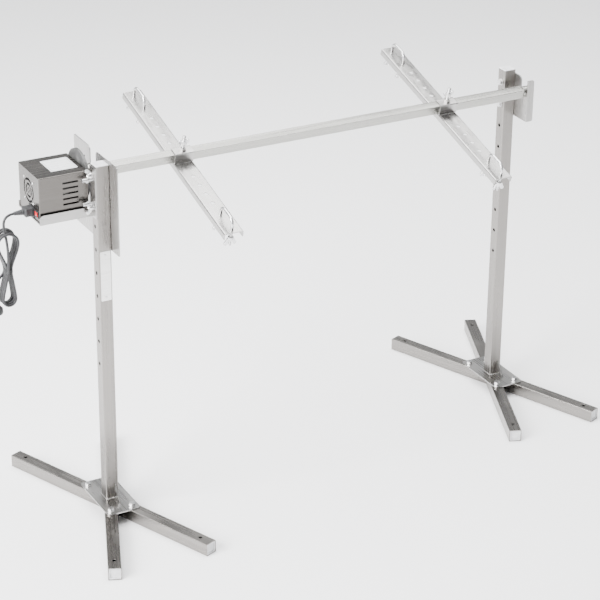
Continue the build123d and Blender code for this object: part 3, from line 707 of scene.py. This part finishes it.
def square_lines(middle, half, z):
    corners = [middle + Vector((sx * half, sy * half, 0)) for sx, sy in ((-1, -1), (1, -1), (1, 1), (-1, 1))]
    for corner in corners:
        corner.z = z
    return list(zip(corners, corners[1:] + corners[:1]))


def make_stand_welds():
    """Post to base plate, and the gussets' feet and edges."""
    plate_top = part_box("motor_base_plate")[1].z
    for stand, middle in zip(STANDS, (POST, TAIL)):
        lines = square_lines(middle.copy(), 15.0 * MM, plate_top)
        make_beads(f"{stand}_post_weld", lines, 1.3 * MM, "root")
        gusset = []
        for sign in (-1, 1):
            x = middle.x + 6.0 * MM + 1.5 * MM
            root = middle.y + sign * 16.5 * MM
            tip = middle.y + sign * 40.5 * MM
            gusset.append(((x, root, plate_top), (x, tip, plate_top)))
            face = middle.y + sign * 15 * MM
            gusset.append(((x, face, plate_top + 2 * MM), (x, face, plate_top + 34 * MM)))
        make_beads(f"{stand}_gusset_weld", gusset, 1.0 * MM, "root")


def make_sleeve_welds():
    """The sleeve's foot on the arm's web, both sides."""
    for arm in ARMS:
        x = centre(f"{arm}_arm").x
        matrix = on_spit(x)
        lines = []
        for side in (-1, 1):
            start, end = (Vector((along, side * SLEEVE_HALF, WEB_TOP)) for along in (-WELD_HALF, WELD_HALF))
            lines.append((matrix @ start, matrix @ end))
        make_beads(f"{arm}_sleeve_weld", lines, 1.0 * MM, f"{arm}_arm")


# ---- cord ----
def cord_lead_points():
    """The plug's exit and the bend that brings the lead down to the hank, close to the frame's cord."""
    inlet_y, inlet_z = 58.0, 747.5
    route = [
        (-178, inlet_z), (-183.5, inlet_z), (-193.6, 744.4), (-199.4, 738.6), (-202.5, 731.1),
        (-202.9, 723), (-202.2, 715),
    ]
    return [(x, inlet_y, z) for x, z in route]


HANK_X, HANK_Y = -197.0, 58.0
HANK_TURNS = 4


def hank_points():
    """A peanut-shaped coil: wide loops above, a tied waist, and narrow loops below."""
    rng = random.Random(11)
    half_turn = [          # (x, z) down the left strand and round the bottom loop
        (-3.3, 617), (-8.6, 590), (-14.2, 562), (-14.2, 549.6), (-5.9, 541),
    ]
    top = [                # (x, z) from the waist up the right strand, over the top loop
        (3.3, 617), (6.2, 634), (13.5, 652), (20.5, 670), (23.0, 686), (17.0, 700), (0, 708),
        (-17.0, 700), (-23.0, 686), (-20.5, 670), (-13.5, 652), (-6.2, 634),
    ]
    points = []
    for turn in range(HANK_TURNS):
        lane = turn - (HANK_TURNS - 1) / 2
        drop = rng.uniform(-5, 0)
        rise = rng.uniform(-9, 4)
        wide = rng.uniform(0.95, 1.06)
        narrow = rng.uniform(1.0, 1.10)
        down = half_turn + [(-x, z) for x, z in reversed(half_turn[1:])]
        for i, (x, z) in enumerate(down):
            fan = 1.0 + 0.28 * min(1.0, (617 - z) / 60)
            y = (lane * 6.6 + 3.3 * i / len(down)) * fan
            lean = 4.0 * min(1.0, (617 - z) / 55)
            points.append(((x * narrow if z < 600 else x) - lean, y, z + drop * (617 - z) / 78))
        for i, (x, z) in enumerate(top):
            fan = 1.0 + 0.30 * min(1.0, (z - 617) / 60)
            y = (lane * 6.6 + 3.3 + 3.3 * i / len(top)) * fan
            points.append((x * wide if z > 625 else x, y, z + rise * (z - 617) / 91))
    return [(HANK_X + x, HANK_Y + y, z) for x, y, z in points]


def cord_entry_points():
    """From the lead's end, in front of the loops, down to the waist."""
    lane = -(HANK_TURNS - 1) / 2 * 6.6
    return [
        (-201.2, 55.2, 703), (-200.4, 49.5, 686), (-200.2, 45.5, 664), (-200.3, HANK_Y + lane - 1.2, 640),
    ]


def cord_tail_points():
    """From the waist's back strand out to the left and down to the mains plug."""
    return [
        (-200.6, 71.5, 617), (-204.5, 70.5, 606.5), (-212.5, 67.5, 601.5), (-221, 63.5, 596),
        (-227.5, 60, 588.2), (-231, 58.3, 579), (-232, 58, 569), (-232, 58, 560),
    ]


def nurbs_cord(name, points, diameter):
    curve = bpy.data.curves.new(name, "CURVE")
    curve.dimensions = "3D"
    curve.resolution_u = 10
    spline = curve.splines.new("NURBS")
    spline.points.add(len(points) - 1)
    for target, (x, y, z) in zip(spline.points, points):
        target.co = (*at(x, y, z), 1)
    spline.order_u = 3
    spline.use_endpoint_u = True
    curve.bevel_depth = diameter / 2 * MM
    curve.bevel_resolution = 6
    curve.use_fill_caps = True
    curve.materials.append(MATERIALS["rubber"])
    made = bpy.data.objects.new(name, curve)
    bpy.context.scene.collection.objects.link(made)
    return made


def curve_length(made):
    """The length of the cord's own spline."""
    bare = made.data.copy()
    bare.bevel_depth = 0
    holder = bpy.data.objects.new("bare", bare)
    bpy.context.scene.collection.objects.link(holder)
    bpy.context.view_layer.update()
    mesh = bpy.data.meshes.new_from_object(holder.evaluated_get(bpy.context.evaluated_depsgraph_get()))
    spots = [vertex.co for vertex in mesh.vertices]
    total = sum((spots[edge.vertices[0]] - spots[edge.vertices[1]]).length for edge in mesh.edges)
    bpy.data.objects.remove(holder)
    return total


def make_cord():
    points = cord_lead_points() + cord_entry_points() + hank_points() + cord_tail_points()
    lead = nurbs_cord("power_cord", points, CORD_D)
    print("cord length", round(curve_length(lead), 3), len(points))
    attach(lead, "root")
    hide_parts("cord_lead", "cord_hank")
    return lead


def rounded_block(width, depth, corner, z_profile, steps=8):
    """Rings of a rounded rectangle along Z: (z, scale) pairs."""
    rings = []
    for z, scale in z_profile:
        ring = []
        for sx, sy, first in ((1, 1, 0), (-1, 1, 90), (-1, -1, 180), (1, -1, 270)):
            cx = sx * (width / 2 - corner)
            cy = sy * (depth / 2 - corner)
            for k in range(steps + 1):
                angle = math.radians(first + 90 * k / steps)
                x, y = cx + corner * math.cos(angle), cy + corner * math.sin(angle)
                ring.append((x * scale, y * scale, z))
        rings.append(ring)
    return rings


def ribbed_relief(z0, z1, r0, r1, ribs):
    """Strain relief with ring grooves, narrowing from r0 to r1."""
    profile = []
    steps = ribs * 8
    for i in range(steps + 1):
        t = i / steps
        radius = r0 + (r1 - r0) * t
        groove = 0.9 if (i % 8) in (5, 6) and t < 0.95 else 0.0
        profile.append((radius - groove, z0 + (z1 - z0) * t))
    return profile


def make_appliance_plug():
    """Moulded connector: body with finger recesses, and a ribbed relief towards the lead."""
    low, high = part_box("appliance_plug")
    middle = (low + high) / 2
    face = POST.x - 137.6 * MM
    shape = bmesh.new()
    profile = [
        (0, 0.97), (0.8, 1.0), (4, 1.0), (6, 0.955), (13, 0.955), (15, 1.0), (17.2, 0.97), (18.4, 0.86),
        (19.2, 0.66),
    ]
    rings_to_mesh(shape, rounded_block(27.0, 20.0, 4.0, profile))
    rings_to_mesh(shape, rounded_block(23.6, 15.6, 2.0, [(-8.6, 0.97), (-8.0, 1.0), (0.2, 1.0)]))
    turn = Matrix.Rotation(-QUARTER, 4, "Y")
    spot = Vector((face, middle.y, middle.z))
    relief = lathe(ribbed_relief(17.0, 40.4, 7.0, 4.2, 6), 32)
    mesh = bpy.data.meshes.new("relief")
    relief.to_mesh(mesh)
    relief.free()
    shape.from_mesh(mesh)
    # The block's width lies across the inlet once the Z axis is turned along the lead.
    flat = Matrix.Rotation(QUARTER, 4, "Z")
    mesh = from_bmesh("plug", shape, place(spot, turn) @ flat)
    plug = piece("appliance_plug_moulded", mesh, MATERIALS["rubber"], "root")
    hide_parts("appliance_plug")
    return plug


def make_mains_plug():
    """Round two-pin plug, pins down, under the lead's far end."""
    low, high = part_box("mains_plug")
    spot = Vector(((low.x + high.x) / 2, (low.y + high.y) / 2, high.z))
    shape = bmesh.new()
    body = [(10.5, -22), (14.5, -24), (16.8, -27), (17.3, -33), (17.3, -36), (16.6, -38)]
    outline = ribbed_relief(-1.0, -21.0, 4.4, 8.6, 5) + body
    body = lathe([(0.05, -1.0)] + outline + [(0.05, -38)], 48)
    mesh = bpy.data.meshes.new("body")
    body.to_mesh(mesh)
    body.free()
    shape.from_mesh(mesh)
    mesh = from_bmesh("mains", shape, place(spot))
    plug = piece("mains_plug_moulded", mesh, MATERIALS["rubber"], "root")
    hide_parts("mains_plug")
    pins = bmesh.new()
    for side in (-9.5, 9.5):
        pin = lathe([(0.05, -37.5), (2.4, -37.5), (2.4, -54.8), (1.9, -56.4), (0.05, -57)], 20)
        bmesh.ops.translate(pin, verts=pin.verts, vec=(0, side, 0))
        mesh = bpy.data.meshes.new("pin")
        pin.to_mesh(mesh)
        pin.free()
        pins.from_mesh(mesh)
    mesh = from_bmesh("pins", pins, place(spot))
    blades = piece("mains_plug_pins", mesh, MATERIALS["fastener"], "root")
    return plug, blades


def make_cord_tie():
    """The twisted wire tie round the hank's waist."""
    points = []
    turns, steps = 3, 28
    for i in range(turns * steps + 1):
        angle = 2 * math.pi * i / steps
        ripple = 1 + 0.02 * math.sin(5 * angle)
        x = HANK_X + 7.8 * math.cos(angle) * ripple
        y = HANK_Y + 3.0 + 17.6 * math.sin(angle) * ripple
        points.append((x, y, 613.5 + 3.0 * i / steps))
    curve = bpy.data.curves.new("cord_tie", "CURVE")
    curve.dimensions = "3D"
    spline = curve.splines.new("POLY")
    spline.points.add(len(points) - 1)
    for target, (x, y, z) in zip(spline.points, points):
        target.co = (*at(x, y, z), 1)
    curve.bevel_depth = 1.2 * MM
    curve.bevel_resolution = 3
    curve.use_fill_caps = True
    curve.materials.append(MATERIALS["black"])
    tie = bpy.data.objects.new("cord_tie", curve)
    bpy.context.scene.collection.objects.link(tie)
    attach(tie, "root")
    return tie


# ---- motor cover details ----
def screw_head(radius, height):
    """A pan head with a cross recess, its seat at z = 0."""
    profile = [
        (0.02, 0), (radius, 0), (radius, height * 0.45), (radius * 0.86, height * 0.82),
        (radius * 0.55, height), (0.02, height),
    ]
    shape = lathe(profile, 28)
    mesh = from_bmesh("head", shape)
    cross = bmesh.new()
    for turn in (0, QUARTER):
        bar = bmesh.new()
        bmesh.ops.create_cube(bar, size=1.0)
        size = Matrix.Diagonal((radius * 1.1, radius * 0.26, height, 1))
        bar.transform(Matrix.Rotation(turn, 4, "Z") @ size)
        bar.transform(Matrix.Translation((0, 0, height * 0.95)))
        spare = bpy.data.meshes.new("bar")
        bar.to_mesh(spare)
        bar.free()
        cross.from_mesh(spare)
    cutter = bpy.data.objects.new("cross", from_bmesh("cross", cross))
    holder = bpy.data.objects.new("head", mesh)
    for made in (cutter, holder):
        bpy.context.scene.collection.objects.link(made)
    cut = holder.modifiers.new("cross", "BOOLEAN")
    cut.operation = "DIFFERENCE"
    cut.solver = "EXACT"
    cut.use_self = True
    cut.object = cutter
    result = apply_modifiers(holder)
    for made in (cutter, holder):
        bpy.data.objects.remove(made)
    return result


def make_fan_screws():
    low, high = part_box("fan_screws")
    head = screw_head(3.0, 1.6)
    joined = bmesh.new()
    for y in (low.y + 3 * MM, high.y - 3 * MM):
        for z in (low.z + 3 * MM, high.z - 3 * MM):
            spot = Vector((high.x, y, z))
            joined.from_mesh(placed_copy(head, "screw", place(spot, Matrix.Rotation(-QUARTER, 4, "Y"))))
    mesh = from_bmesh("fan_screws", joined)
    screws = piece("fan_screws_crossed", mesh, MATERIALS["fastener"], "root", smooth=False)
    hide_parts("fan_screws")


def printed_bars(name, corners, material, body):
    """Thin printed patches: each is (low corner, high corner) of a flat box, in metres."""
    shape = bmesh.new()
    for low, high in corners:
        patch = bmesh.new()
        bmesh.ops.create_cube(patch, size=1.0)
        size = Vector(high) - Vector(low)
        patch.transform(Matrix.Translation((Vector(low) + Vector(high)) / 2) @ Matrix.Diagonal((*size, 1)))
        spare = bpy.data.meshes.new("patch")
        patch.to_mesh(spare)
        patch.free()
        shape.from_mesh(spare)
    piece(name, from_bmesh(name, shape), material, body, smooth=False)


def make_label_frame():
    """A plain border and an empty rule grid on the rating sticker."""
    low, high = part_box("rating_sticker")
    top = high.z
    inset, line = 3 * MM, 0.7 * MM
    x0, x1 = low.x + inset, high.x - inset
    y0, y1 = low.y + inset, high.y - inset
    t = (top - 0.02 * MM, top + 0.05 * MM)
    bars = [
        ((x0, y0, t[0]), (x1, y0 + line, t[1])), ((x0, y1 - line, t[0]), (x1, y1, t[1])),
        ((x0, y0 + line, t[0]), (x0 + line, y1 - line, t[1])),
        ((x1 - line, y0 + line, t[0]), (x1, y1 - line, t[1])),
    ]
    for i in range(1, 5):
        y = y0 + (y1 - y0) * i / 5
        bars.append(((x0 + 4 * MM, y, t[0]), (x1 - 4 * MM, y + 0.4 * MM, t[1])))
    printed_bars("rating_rules", bars, MATERIALS["ink"], "root")


MATERIALS = make_materials()
make_camera()
make_floor()
make_lights()
finish_nodes()

power_cord = make_cord()
appliance_plug = make_appliance_plug()
mains_plug, mains_pins = make_mains_plug()
cord_tie = make_cord_tie()

make_wing_nuts()
make_wing_screws()
make_u_bolts()
make_stand_welds()
make_sleeve_welds()
make_fan_screws()
make_label_frame()
